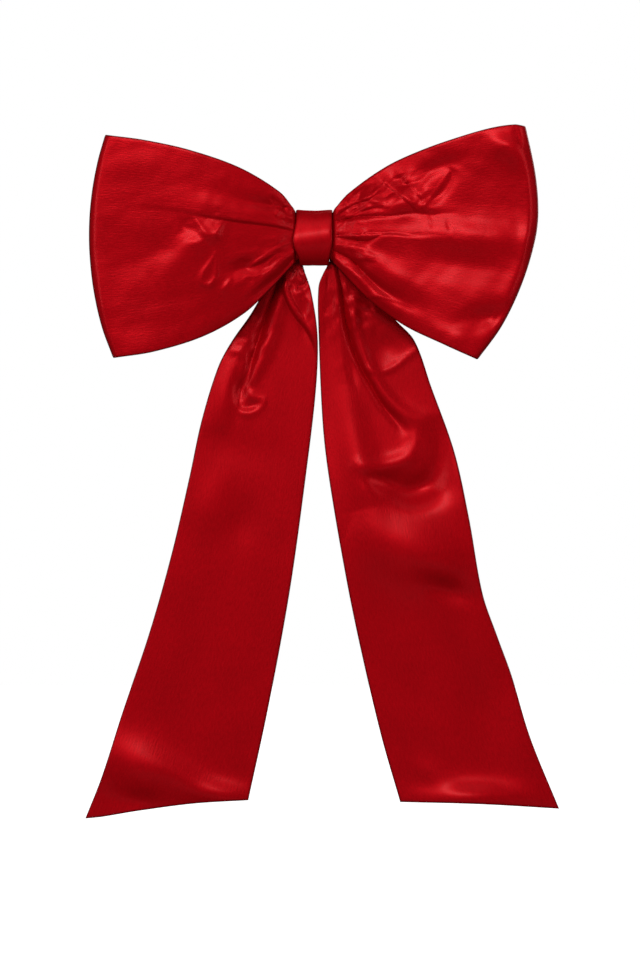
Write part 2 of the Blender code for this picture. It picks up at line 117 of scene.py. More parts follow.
# how far the cloth stands in front of and behind the loop's middle, along its length (0 to 100)
LEFT_LOOP_FRONT = [
    (0, 4.6), (8, 4.8), (20, 7.4), (40, 10.8), (56, 12.2), (70, 12.2), (84, 12.0), (94, 11.6),
    (98, 11), (99.3, 10), (100, 8.4),
]
RIGHT_LOOP_FRONT = [
    (0, 4.6), (8, 4.8), (20, 8.4), (40, 11.8), (60, 13.6), (80, 14.8), (90, 15), (96.6, 14.8),
    (99, 13.9), (99.7, 12.6), (100, 11),
]
LOOP_BACK = [(0, 2.6), (10, 3), (35, 4.9), (60, 5.4), (76, 4.0), (90, 0.5), (97, -2.2), (100, -4.5)]

# ---------- folds, as points (x, z, height, width) along each ----------

LEFT_LOOP_RIDGES = [
    # the two long folds that run from the knot to the outer end, and the ridge between them
    [(-9, 8.5, 0.8, 1.6), (-18, 11, 1.2, 2.6), (-31, 14.5, 0.9, 3.4), (-46, 17.6, 0.45, 4.4),
     (-68, 21.3, 0.12, 6),
     (-88, 23, 0, 7)],
    [(-14, 14, -0.7, 1.5), (-27.6, 16.6, -1.1, 2.6), (-38, 19.3, -0.7, 3.4), (-51.5, 24, -0.3, 4.6),
     (-65, 28, 0, 6)],
    [(-11, 12, 0.6, 1.4), (-20, 20, 0.9, 3), (-32, 25, 0.7, 4), (-48, 31, 0, 5)],
    # the swell in the middle whose upper side catches the light
    [(-40, 8, 0, 4), (-47.5, 4.5, 2.6, 5), (-55, -0.5, 3.0, 6), (-64, -7, 2.2, 6.5), (-76, -15, 0, 7)],
    # lower folds
    [(-9, -5, 0.7, 1.3), (-16, -10.5, 1.3, 1.8), (-23.2, -17, 1.6, 2.2), (-33.6, -26, 1.2, 2.8),
     (-44, -31, 0, 3)],
    [(-10, -9, -0.6, 1.2), (-18, -17, -1.2, 2), (-30.6, -24.5, -1.1, 3), (-53, -32.3, -0.8, 4),
     (-75.3, -37.5, -0.4, 5.5),
     (-90, -40, 0, 6)],
    [(-40, -20, 0, 3), (-54, -24, -0.6, 4), (-70, -27, -0.4, 5), (-88, -26, 0, 6)],
    [(-28, -28, 0.4, 2), (-45, -36, 0.4, 3), (-65, -43, 0.3, 4), (-84, -47, 0, 5)],
    # small creases by the knot
    [(-10, -1.4, 0, 0.9), (-16.5, -4.2, 0.7, 1), (-26, -10.3, 0.6, 1.1), (-29, -12.6, 0, 1)],
    [(-17, -6.4, 0, 0.9), (-22, -8.6, 0.7, 1), (-27.5, -11.3, 0.7, 1.1), (-30.4, -14.6, 0, 1)],
    [(-37.2, -17.6, 0, 1), (-39.8, -21, 0.7, 1.1), (-42.2, -24.8, 0, 1)],
    [(-55, 11, 0, 1.2), (-51, 5, 0.9, 1.4), (-46.5, -1.5, 0, 1.2)],
    [(-41, 8, 0, 1.1), (-43.6, 4, 0.8, 1.3), (-45.6, -0.5, 0, 1.1)],
    [(-14.8, 14.5, 0, 1), (-16.6, 11.6, 0.8, 1.1), (-18.2, 9.4, 0, 1)],
    # teardrop pucker
    [(-44.7, -7.2, 0.4, 1.0), (-44, -12.4, 0.6, 1.1), (-44.8, -17.4, 0.7, 1.2), (-47.6, -20.6, 0.9, 1.3),
     (-50.6, -19.4, 0.9, 1.3), (-50.4, -15.8, 0.9, 1.2), (-47.4, -11.2, 0.8, 1.1), (-44.7, -7.2, 0.4, 1.0)],
]
LEFT_LOOP_LAPS = [
    (1, [(-9, 3, 0.8, 2), (-16.5, 4.6, 1.3, 3), (-27, 6.2, 1.6, 6), (-38, 7.9, 1.5, 8), (-49, 9.7, 1.0, 10),
         (-60, 12, 0.5, 11), (-75, 13.8, 0.15, 12), (-88, 15, 0, 9)]),
]
LEFT_LOOP_BUMPS = [
    (-34, -11, 9, 4, 20, -1.5),
    (-18.7, 17.4, 2.4, 1.6, -35, -0.8),
    (-75, -3, 12, 6, 26, -0.7),
    (-97, 0, 4, 30, 0, 0.5),
]

RIGHT_LOOP_RIDGES = [
    # the long horizontal fold across the middle
    [(8.6, 3.2, 0.5, 1.8), (24, 4, 0.8, 3), (40, 4.6, 1.4, 4.4), (60, 4.6, 3.0, 6),
     (80, 3.4, 3.4, 6.6), (96, 2.4, 2.0, 6.6)],
    [(9, 7.4, -0.5, 0.9), (20, 9.4, -0.8, 0.9), (34, 10.2, -0.5, 1), (44, 11.6, -0.4, 1.2),
     (54, 11.2, -0.3, 1.4), (66, 12.6, 0, 1.6)],
    # ridge, deep crease and lower lobe from the knot to the lower corner
    [(8.8, -2.6, 0.6, 1.2), (19.8, -4.4, 1.4, 2), (25.7, -8.5, 1.9, 3.4), (35.4, -14.5, 1.9, 4.2),
     (46, -19.6, 1.1, 4.6),
     (58, -24, 0.5, 5), (70, -26, 0, 6)],
    [(8.6, -5.4, -0.9, 1), (16, -9.4, -1.2, 1.2), (23.5, -16.6, -1.4, 1.6), (32.4, -23.6, -1.4, 2.2),
     (42, -28.6, -1.0, 3),
     (52, -32.5, 0, 4)],
    [(9.4, -9, 0.6, 1.2), (18, -16, 1.1, 1.6), (27, -25, 1.2, 2), (38, -31, 1.3, 3),
     (50, -36.5, 1.3, 4), (66, -44, 1.2, 4.5),
     (73, -48, 0, 4)],
    [(43, -31, 0, 5), (55, -30.5, 0.5, 6.4), (66, -29.5, 0.4, 7.4), (80, -26, 0.3, 7.4), (92, -20, 0.2, 6)],
    # rim of the outer fold and the corner
    [(80, 46, 0.4, 4), (88, 42, 2.2, 3.8), (92.4, 33, 2.4, 3.6), (94.8, 22, 2.4, 3.4),
     (95.4, 8, 2.4, 3.4), (93.4, -6, 2.4, 3.4),
     (88.8, -18, 1.8, 3.6), (82, -32, 0.6, 4)],
    [(89.4, 50, 0, 0.9), (91.4, 45, -0.5, 0.9), (93.4, 39, 0, 0.9)],
    # crescent: a thin raised edge, and the pocket behind it
    [(47.5, 13.6, 0, 1), (49.4, 15.4, 0.6, 1.1), (52.6, 19.2, 0.9, 1.2), (56.3, 23.8, 0.9, 1.2),
     (59.4, 28.4, 0.7, 1.1),
     (60.4, 30.6, 0, 1)],
    [(48.5, 14.6, 0, 1.8), (52.2, 18.4, -1.1, 2.4), (56.9, 23.2, -1.8, 2.8), (60.3, 28.7, -1.3, 2.6),
     (61.5, 31.5, 0, 2)],
    # sharp breaks in the middle fold
    [(51, 9.6, 0, 0.7), (52.2, 6.6, -0.22, 0.7), (52.6, 3.4, 0, 0.7)],
    [(59, 8.6, 0, 0.7), (60.2, 5.2, -0.26, 0.7), (61.2, 1.8, 0, 0.7)],
    # small creases under the fold at the knot
    [(8.6, 0.4, 0, 0.7), (15, -0.4, -0.6, 0.8), (23, -1.6, -0.8, 0.9), (27.5, 0, -0.5, 0.8),
     (31, 1.6, -0.3, 0.7), (37, 1.5, 0, 0.7)],
    [(16, 2.2, 0, 0.7), (19.6, 0.4, 0.5, 0.8), (22.4, 2.4, 0.5, 0.8), (24.4, 0.2, 0, 0.7)],
]
RIGHT_LOOP_LAPS = [
    # crumples above the middle fold
    (-1, [(9, 8.8, 0.4, 2), (13.5, 12.4, 0.9, 2.6), (20, 15.4, 1.3, 3.4), (26, 18, 1.3, 3.6),
          (30.6, 22.4, 0.3, 3.4)]),
    (-1, [(12, 7.6, 0.2, 2), (17, 9.6, 0.8, 2.4), (23, 12.4, 1.1, 3), (29, 13.6, 0.8, 3),
          (34, 13, 0.1, 3)]),
    (-1, [(28, 27.4, 0.2, 3), (33, 23, 1.2, 3.6), (38.4, 19, 1.4, 4), (43.6, 14.6, 1.0, 3.6),
          (47, 11, 0.1, 3)]),
    (-1, [(38, 28, 0.1, 3), (43, 23.2, 1.0, 3.4), (47, 18.6, 0.9, 3.2), (50, 14.4, 0.1, 3)]),
    (1, [(12, 0.6, 0.5, 4), (24, 1.0, 1.0, 6), (34, 1.4, 1.1, 7), (46, 0.2, 0.5, 8),
         (58, 0.4, 0.15, 8), (68, -0.4, 0, 8)]),
    (-1, [(10, -10, 0.4, 1.5), (22.5, -26.4, 0.5, 2), (30, -27.2, 0.6, 2.5), (37, -29.4, 0.4, 3),
          (46, -33, 0, 3)]),
]
RIGHT_LOOP_BUMPS = [
    (18.2, 17.4, 2.4, 1.8, 20, -0.9),
    (35.4, 27.4, 5, 3, 25, -1.0),
    (53.3, 34, 10, 3.5, 18, -1.1),
    (23, 17, 15, 9, 32, 2.4),
    (24.5, 20.5, 5, 4.5, 35, 1.2),
    (38, 18.5, 6, 5, 10, 1.3),
    (49, 16, 4.5, 3.5, -20, 0.9),
    (58, -8, 20, 7, -6, -0.9),
    (73.5, -33, 12, 5, 8, -1.9),
    (84, 44, 9, 7, -35, 1.9),
]

LEFT_TAIL_RIDGES = [
    # the front pleat, its left crease and the hook it ends in
    [(-13, -17, 0.6, 1.6), (-16.2, -28.5, 1.6, 2.6), (-20.6, -41.6, 1.9, 3.2), (-24.4, -52.6, 1.7, 3),
     (-28, -62, 1.1, 2.2),
     (-30, -66, 0, 2)],
    [(-17, -20, -0.9, 1), (-21.4, -32, -1.7, 1.5), (-24.6, -42, -1.9, 1.8), (-28, -52, -1.7, 1.8),
     (-31, -61, -1.3, 2.2),
     (-33.4, -68, -1.3, 2.8), (-32, -74, 0, 2.5)],
    [(-14.9, -21, 0, 0.8), (-13, -26.5, 0.35, 0.8), (-9.6, -33, 0.45, 0.8), (-4.8, -39.4, 0.4, 0.8),
     (-1.2, -44.6, 0.3, 0.8), (0, -48, 0, 0.8)],
    [(-30.6, -62, 0, 1), (-30.4, -68, 0.35, 1), (-27.4, -71.6, 0.45, 1), (-23.4, -72, 0.3, 1),
     (-21.6, -71.4, 0, 1)],
    [(-22, -71.6, 0, 1), (-24, -75, 0.5, 1.2), (-29.2, -78, 0.8, 1.5), (-33.6, -77.4, 0.7, 1.5),
     (-38, -73.4, 0, 1.5)],
    # outer lobe
    [(-38.6, -50.5, 0, 1.4), (-34.6, -50.4, 0.7, 1.6), (-31.4, -54.4, 1.1, 2), (-32.4, -61, 0.7, 2.2),
     (-34.4, -67, 0, 2)],
    [(-30, -36, 0.6, 2.4), (-36, -52, 0.7, 3.2), (-40.6, -64, 1.3, 4.2), (-42.6, -74, 1.5, 4.6),
     (-45, -88, 0, 5)],
    # wrinkles where the inner side is gathered
    [(-11, -14.6, 0, 0.6), (-8.6, -15.8, 0.5, 0.6), (-5.4, -15.2, 0, 0.6)],
    [(-11, -17.2, 0, 0.6), (-7.8, -19, 0.5, 0.7), (-4.2, -18.4, 0, 0.6)],
    [(-10, -20.4, 0, 0.6), (-6.6, -21.8, 0.5, 0.7), (-3, -21.2, 0, 0.6)],
    [(-9.6, -23, 0, 0.8), (-5.4, -25, 0.6, 0.9), (-2.2, -28.6, 0.6, 1.1), (-2.6, -33.4, 0.6, 1.2),
     (-5.6, -36.6, 0, 1)],
    [(-11.8, -20, 0, 0.9), (-10.4, -25, -0.8, 1.1), (-7.2, -31, -1.0, 1.4), (-3.4, -37.4, 0, 1.4)],
    # soft waves further down
    [(-50, -86, 0, 6), (-38, -90, -0.5, 8), (-20, -92, -0.3, 9), (0, -96, 0, 9)],
    [(-58, -116, 0, 7), (-44, -120, 0.35, 9), (-26, -124, 0.2, 10), (-8, -128, 0, 10)],
]
LEFT_TAIL_LAPS = [
    (-1, [(-14.4, -18, 0.8, 5), (-13.4, -24, 2.8, 7), (-11.4, -29.4, 4.4, 9), (-7.9, -35.4, 4.8, 10),
          (-3.1, -41.4, 3.8, 10),
          (-0.6, -46.4, 2.2, 9), (0.6, -53, 0, 7)]),
]
LEFT_TAIL_BUMPS = [
    (-34, -66, 2.6, 8, -10, -0.9),
    (-5.2, -28, 3.4, 9, 8, -1.9),
    (-29.5, -74.2, 4, 2.2, 12, -0.8),
    (-84, -231, 20, 12, -28, 3.6),
    (-64, -238, 14, 6, -22, 1.4),
    (-47, -247, 16, 6, -8, 2.8),
    (-82, -250, 12, 5, -10, -1.2),
    (-47, -108, 7, 12, -15, 0.6),
    (-35, -122, 8, 10, 0, -0.9),
]

RIGHT_TAIL_RIDGES = [
    [(8, -12, 0.7, 1.3), (9.8, -21.3, 1.2, 1.8), (11, -29, 1.3, 2.2), (10.6, -40, 1.2, 2.8),
     (11, -52, 0.7, 3.4), (13, -66, 0, 4)],
    # the crease that sweeps across to the outer side, and the ridge beside it
    [(10.4, -13, -0.5, 0.8), (12.4, -25.2, -1.2, 0.9), (13.4, -35.2, -1.7, 1.1),
     (15.8, -44.5, -2.0, 1.2), (19.6, -55.3, -2.1, 1.3),
     (24.4, -64.4, -2.0, 1.4), (30.6, -74.7, -1.7, 1.6), (37, -82, -1.1, 2.2), (42, -89, 0, 3)],
    [(13.6, -22, 0.5, 1.4), (16, -33, 1.0, 1.8), (19.4, -44, 1.3, 2.2), (23, -55, 1.6, 2.6),
     (28.6, -66, 1.8, 3), (36.5, -74.8, 1.8, 3.4),
     (45, -79.5, 1.2, 4), (54, -80, 0, 4)],
    # fan under the loop
    [(17.5, -26, 0, 1), (18.6, -31.4, 0.8, 1.1), (18, -37, 0.8, 1.3), (18.6, -43, 0, 1.2)],
    [(18.6, -31.4, 0, 1), (21.4, -30, 0.7, 0.9), (25, -31, 0, 0.9)],
    [(24.5, -31.4, 0.3, 0.8), (35.3, -38.5, 0.6, 0.9), (42.4, -44, 0.5, 0.9), (46, -49, 0, 0.9)],
    [(21, -57, 0, 1.2), (26, -59, 0.5, 1.3), (31, -59.2, 0.6, 1.4), (36.4, -56.6, 0.6, 1.4),
     (41, -53, 0.6, 1.3),
     (46, -49.4, 0.3, 1.2)],
    # the soft bulge in the middle and its lower edge
    [(44, -84, 0, 3), (44, -91, 1.0, 3.4), (40.6, -96.6, 1.5, 3.6), (33.4, -99.6, 1.5, 3.6),
     (24, -100.6, 1.0, 3.4), (15, -100, 0, 3)],
    [(20, -105, 0, 3), (31, -107.6, -2.4, 4.4), (42, -109.4, -3.8, 6.4), (51, -103, -3.2, 6.4),
     (55, -90, -1.4, 5), (54, -80, 0, 5)],
    [(12, -60, 0.4, 5), (14, -78, 1.5, 6.5), (17, -98, 2.2, 7.5), (20, -112, 1.4, 8.5), (22, -122, 0, 9)],
    [(18, -124, 0, 11), (32, -130, 2.8, 13), (46, -135.5, 4.4, 14), (58, -139.5, 3.4, 13),
     (70, -143, 0.6, 12), (78, -145, 0, 11)],
    [(70, -160, 0, 8), (78, -188, 1.0, 9), (90, -222, 1.2, 9), (98, -250, 0.6, 9)],
]
RIGHT_TAIL_LAPS = []
RIGHT_TAIL_BUMPS = [
    (29.5, -45, 8, 7, -25, -1.3),
    (16.4, -57, 1.8, 6, 14, -0.6),
    (30, -106, 120, 36, 0, 3.4),
    (64, -248, 22, 7, 1, 4.4),
    (50, -238, 10, 5, -30, 0.8),
    (48, -109, 10, 7, 0, -2.0),
    (22, -98, 6, 20, 8, 1.0),
    (56, -155, 10, 5, -20, -1.8),
    (78, -190, 14, 24, -20, -1.4),
]

# crumpled patches: (x, z, half length, half width, angle, height, spacing, seed)
LEFT_LOOP_CRUMPLES = [
    (-25, -10, 17, 7, 34, 0.6, 11, 23),
    (-50, 3, 12, 8, 10, 0.6, 15, 24),
    (-14, 12, 7, 4, -40, 0.5, 7, 28),
]
RIGHT_LOOP_CRUMPLES = [
    (30, 18.6, 22, 8, 20, 0.95, 13, 21),
    (18, -8, 11, 6, -42, 0.55, 9, 22),
    (15, 12, 9, 6, 35, 0.45, 6, 29),
]
LEFT_TAIL_CRUMPLES = [
    (-6.6, -19, 6, 5, 60, 1.1, 6, 25),
    (-28, -44, 14, 8, 60, 0.9, 12, 26),
]
RIGHT_TAIL_CRUMPLES = [
    (19, -33, 12, 8, -60, 0.9, 10, 27),
    (8, -30, 14, 4, 90, 0.6, 9, 30),
]

# ---------- curves and relief ----------

def along(points, t):
    """Points at shares t of a smooth curve through rows of numbers; the first two are x and z."""
    rows = np.array(points, float)
    knots = np.concatenate([[0], np.cumsum(np.hypot(*np.diff(rows[:, :2], axis=0).T))])
    where = np.clip(np.asarray(t, float), 0, 1) * knots[-1]
    i = np.clip(np.searchsorted(knots, where, side="right") - 1, 0, len(rows) - 2)
    before, after = np.maximum(i - 1, 0), np.minimum(i + 2, len(rows) - 1)
    span = (knots[i + 1] - knots[i])[..., None]
    s = (where - knots[i])[..., None] / span
    p, q = rows[i], rows[i + 1]
    slope_p = (q - rows[before]) / (knots[i + 1] - knots[before])[..., None]
    slope_q = (rows[after] - p) / (knots[after] - knots[i])[..., None]
    ease = s * (1 - s) * span
    return p + (q - p) * s * s * (3 - 2 * s) + ease * ((1 - s) * slope_p - s * slope_q)


def ramp(x, low, high):
    t = np.clip((x - low) / (high - low), 0, 1)
    return t * t * (3 - 2 * t)


def near_path(x, z, path):
    """For each point: signed distance to the path (positive on its left), its height and width there, and
    how far its left side faces the key light, from -1 to 1."""
    dense = along(path, np.linspace(0, 1, 24 * len(path)))
    run = np.gradient(dense[:, :2], axis=0)
    run /= np.linalg.norm(run, axis=1, keepdims=True)
    squared = (x[..., None] - dense[:, 0]) ** 2 + (z[..., None] - dense[:, 1]) ** 2
    nearest = squared.argmin(axis=-1)
    side = run[nearest, 0] * (z - dense[nearest, 1]) - run[nearest, 1] * (x - dense[nearest, 0])
    distance = np.sqrt(squared.min(axis=-1))
    facing = run @ (TO_LIGHT[1], -TO_LIGHT[0])
    distance = np.where(side >= 0, distance, -distance)
    return distance, dense[nearest, 2], np.abs(dense[nearest, 3]), facing[nearest]


def relief(x, z, ridges, laps, bumps, crumples, broad):
    """Height of the folds over the piece's smooth shape, in millimetres."""
    total = np.zeros_like(x)
    for path in ridges:
        d, height, width, facing = near_path(x, z, path)
        height = height * CRISP * (broad / CRISP) ** ramp(width, 1.0, 3.6)
        most = STEEPEST * width
        height = np.where(height > 0, most * np.tanh(height / most), height)
        roundness = 1.3 + 0.7 * ramp(width, 1.0, 2.2)
        total += height * np.exp(-np.abs(d / width + LIT_SIDE * facing) ** roundness)
    for side, path in laps:
        d, height, width, _ = near_path(x, z, path)
        d = -side * d
        total += 0.7 * height * ramp(d, -0.8, 0.8) * np.exp(-((np.maximum(d, 0) / width) ** 2))
    for bx, bz, rx, rz, angle, height in bumps:
        c, s = math.cos(math.radians(angle)), math.sin(math.radians(angle))
        dx, dz = x - bx + 0.7 * rx * TO_LIGHT[0], z - bz + 0.7 * rz * TO_LIGHT[1]
        total += height * np.exp(-(((dx * c + dz * s) / rx) ** 2) - ((dz * c - dx * s) / rz) ** 2)
    for bx, bz, rx, rz, angle, height, scale, seed in crumples:
        c, s = math.cos(math.radians(angle)), math.sin(math.radians(angle))
        dx, dz = x - bx, z - bz
        lengthwise, across = dx * c + dz * s, dz * c - dx * s
        inside = np.exp(-((lengthwise / rx) ** 4) - (across / rz) ** 4)
        total += height * inside * facets(lengthwise * 0.7, across, seed, scale)
    return total


def waves(x, z, seed, scale, octaves=3):
    """Smooth unevenness with no direction, about -1 to 1."""
    rng = np.random.default_rng(seed)
    total = np.zeros_like(x)
    for octave in range(octaves):
        size = scale / 1.9**octave
        for _ in range(5):
            angle, phase = rng.uniform(0, math.tau, 2)
            wave = (x * math.cos(angle) + z * math.sin(angle)) / size * math.tau + phase
            total += np.sin(wave + 1.3 * np.sin(0.37 * wave + phase)) / 5 / 1.6**octave
    return total


def facets(x, z, seed, scale):
    """Crumples: flat patches that meet in creases, about -1 to 1."""
    rng = np.random.default_rng(seed)
    shift_x = 0.16 * scale * waves(x, z, seed + 50, scale, 2)
    shift_z = 0.16 * scale * waves(x, z, seed + 60, scale, 2)
    x, z = x + shift_x, z + shift_z
    total = np.zeros_like(x)
    for size, weight in ((1, 0.5), (0.72, 0.3), (0.45, 0.16), (0.3, 0.1)):
        angle, phase = rng.uniform(0, math.tau, 2)
        wave = (x * math.cos(angle) + z * math.sin(angle)) / (size * scale) * math.tau + phase
        total += weight * np.arcsin(0.985 * np.sin(wave)) * 2 / math.pi
    return total


def coons(near, far, start, end, s, v):
    """Points filling four curves: near (v=0) and far (v=1) run along s, start and end run along v."""
    a, b = along(near, s)[..., :2], along(far, s)[..., :2]
    c, d = along(start, v)[..., :2], along(end, v)[..., :2]
    corner = {k: np.array(p[:2], float) for k, p in
              (("a0", near[0]), ("a1", near[-1]), ("b0", far[0]), ("b1", far[-1]))}
    s, v = s[..., None], v[..., None]
    flat = (1 - s) * ((1 - v) * corner["a0"] + v * corner["b0"])
    flat = flat + s * ((1 - v) * corner["a1"] + v * corner["b1"])
    return (1 - v) * a + v * b + (1 - s) * c + s * d - flat


def in_view(grid):
    """Points moved across the view so that each is seen where its outline is listed, whatever its depth."""
    scale = (CAMERA[1] - grid[..., 1]) / (CAMERA[1] - OUTLINE_Y)
    x = CAMERA[0] + (grid[..., 0] - CAMERA[0]) * scale
    z = CAMERA[2] + (grid[..., 2] - CAMERA[2]) * scale
    near_knot = 1 - ramp(np.hypot(grid[..., 0], grid[..., 2]), 14, 40)
    x = x + (grid[..., 0] - x) * near_knot
    z = z + (grid[..., 2] - z) * near_knot
    return np.stack([x, grid[..., 1], z], -1)


# ---------- meshes ----------

def resample(grid, us, vs):
    """A grid of points read at shares us and vs, smoothly."""
    def one_axis(values, at):
        n = len(values)
        where = np.asarray(at) * (n - 1)
        i = np.clip(where.astype(int), 0, n - 2)
        t = (where - i).reshape(-1, *([1] * (values.ndim - 1)))
        p0, p1 = values[np.maximum(i - 1, 0)], values[i]
        p2, p3 = values[i + 1], values[np.minimum(i + 2, n - 1)]
        return p1 + 0.5 * t * (p2 - p0 + t * (2 * p0 - 5 * p1 + 4 * p2 - p3 + t * (3 * (p1 - p2) + p3 - p0)))
    return one_axis(one_axis(grid, us).swapaxes(0, 1), vs).swapaxes(0, 1)


def settled(grid, held, ease, frames, most):
    """Where a coarse grid (mm) comes to rest as cloth cut fuller than its shape, as a shift of each point.

    held is how firmly each point stays put (1 is sewn), ease how much the rest shape is spread in x, y and z.
    """
    per_mm = 0.02
    nu, nv = grid.shape[:2]
    ids = np.arange(nu * nv).reshape(nu, nv)
    quads = np.stack([ids[:-1, :-1], ids[1:, :-1], ids[1:, 1:], ids[:-1, 1:]], -1).reshape(-1, 4)
    points = grid.reshape(-1, 3) * per_mm
    mesh = bpy.data.meshes.new("settling")
    mesh.from_pydata(points.tolist(), [], quads.tolist())
    cloth = bpy.data.objects.new("settling", mesh)
    scene = bpy.context.scene
    scene.collection.objects.link(cloth)
    cloth.shape_key_add(name="as made")
    cut = cloth.shape_key_add(name="as cut")
    cut.data.foreach_set("co", (points * (1 + ease.reshape(-1, 3))).ravel())
    group = cloth.vertex_groups.new(name="held")
    for level in range(1, 21):
        rows = np.flatnonzero(np.round(held.ravel() * 20) == level)
        if len(rows):
            group.add(rows.tolist(), level / 20, "REPLACE")
    modifier = cloth.modifiers.new("cloth", "CLOTH")
    settings = modifier.settings
    settings.quality = 6
    settings.mass = 0.15
    settings.air_damping = 2
    settings.tension_stiffness = settings.compression_stiffness = 30
    settings.shear_stiffness = 6
    settings.bending_stiffness = 0.04
    settings.tension_damping = settings.compression_damping = settings.shear_damping = 12
    settings.vertex_group_mass = "held"
    settings.pin_stiffness = 6
    settings.rest_shape_key = cut
    settings.effector_weights.gravity = 0
    modifier.collision_settings.use_collision = False
    modifier.point_cache.frame_start, modifier.point_cache.frame_end = 1, frames
    for frame_number in range(1, frames + 1):
        scene.frame_set(frame_number)
    evaluated = cloth.evaluated_get(bpy.context.evaluated_depsgraph_get()).data
    after = np.zeros(len(points) * 3)
    evaluated.vertices.foreach_get("co", after)
    scene.frame_set(1)
    bpy.data.objects.remove(cloth)
    bpy.data.meshes.remove(mesh)
    shift = (after.reshape(nu, nv, 3) - points.reshape(nu, nv, 3)) / per_mm
    length = np.linalg.norm(shift, axis=-1, keepdims=True)
    return shift * np.tanh(length / most) / np.maximum(length / most, 1e-9)


def with_rims(count, rim_share):
    """Shares from 0 to 1 with extra lines near both ends, for rounded edges."""
    extra = rim_share * np.array([0.06, 0.22, 0.5, 1.0])
    inner = np.linspace(2 * rim_share, 1 - 2 * rim_share, count)
    return np.concatenate([[0], extra, inner, 1 - extra[::-1], [1]])


def arc(points, axis):
    step = np.linalg.norm(np.diff(points, axis=axis), axis=-1)
    pad = [(1, 0), (0, 0)] if axis == 0 else [(0, 0), (1, 0)]
    return np.cumsum(np.pad(step, pad), axis=axis)


def shell(name, grid, thickness, rim, outward, material, flat_width, fold=None):
    """A closed cloth piece on a grid of middle points (mm), with rounded edges and flat UVs in metres."""
    du, dv = np.gradient(grid, axis=0), np.gradient(grid, axis=1)
    normal = np.cross(du, dv)
    normal /= np.linalg.norm(normal, axis=-1, keepdims=True) + 1e-12
    nu, nv = grid.shape[:2]
    if normal[nu // 4, nv // 2] @ np.array(outward) < 0:
        normal = -normal
        flip = True
    else:
        flip = False
    along_u, along_v = arc(grid, 0), arc(grid, 1)
    edge = np.minimum(
        np.minimum(along_u, along_u[-1:] - along_u), np.minimum(along_v, along_v[:, -1:] - along_v)
    )
    past = np.clip(1 - edge / rim, 0, 1)
    half = (thickness / 2 * np.sqrt(1 - past**2))[..., None]
    front = (grid + normal * half).reshape(-1, 3)
    back = (grid - normal * half).reshape(-1, 3)
    ids = np.arange(nu * nv).reshape(nu, nv)
    border = np.zeros((nu, nv), bool)
    border[[0, -1]] = border[:, [0, -1]] = True
    back_ids = np.where(border, ids, 0)
    back_ids[~border] = nu * nv + np.arange((~border).sum())
    verts = np.concatenate([front, back[~border.ravel()]]) * MM

    def quads(index, reverse):
        q = np.stack([index[:-1, :-1], index[1:, :-1], index[1:, 1:], index[:-1, 1:]], -1).reshape(-1, 4)
        return q[:, ::-1] if reverse else q

    faces = np.concatenate([quads(ids, flip), quads(back_ids, not flip)])
    mesh = bpy.data.meshes.new(name)
    mesh.from_pydata(verts.tolist(), [], faces.tolist())
    uv_u = np.broadcast_to(along_u.mean(axis=1, keepdims=True), (nu, nv)) * MM
    uv_v = np.broadcast_to(np.linspace(0, flat_width, nv), (nu, nv))
    flat = np.stack([uv_u, uv_v], -1).reshape(-1, 2)
    flat = np.concatenate([flat, flat[~border.ravel()]])
    layer = mesh.uv_layers.new(name="cloth")
    layer.data.foreach_set("uv", flat[faces.ravel()].astype(np.float32).ravel())
    # rim: painted shade, the share by which the satin darkens its colour within 0.9 mm of an edge, and of the
    # outer fold when fold is given
    edge_shade_layer = mesh.attributes.new("rim", "FLOAT", "POINT")
    if fold is not None:
        edge = np.minimum(edge, np.abs(along_u - along_u[fold : fold + 1]) / 2)
    near = np.clip(1 - edge / 0.9, 0, 1).ravel()
    edge_shade_layer.data.foreach_set("value", np.concatenate([near, near[~border.ravel()]]).astype(np.float32))
    mesh.polygons.foreach_set("use_smooth", np.ones(len(faces), bool))
    mesh.materials.append(material)
    obj = bpy.data.objects.new(name, mesh)
    bpy.context.scene.collection.objects.link(obj)
    mesh.validate()
    return obj


# ---------- materials ----------

def new_material(name):
    material = bpy.data.materials.new(name)
    material.use_nodes = True
    nodes = material.node_tree.nodes
    return material, nodes, material.node_tree.links, nodes["Principled BSDF"]


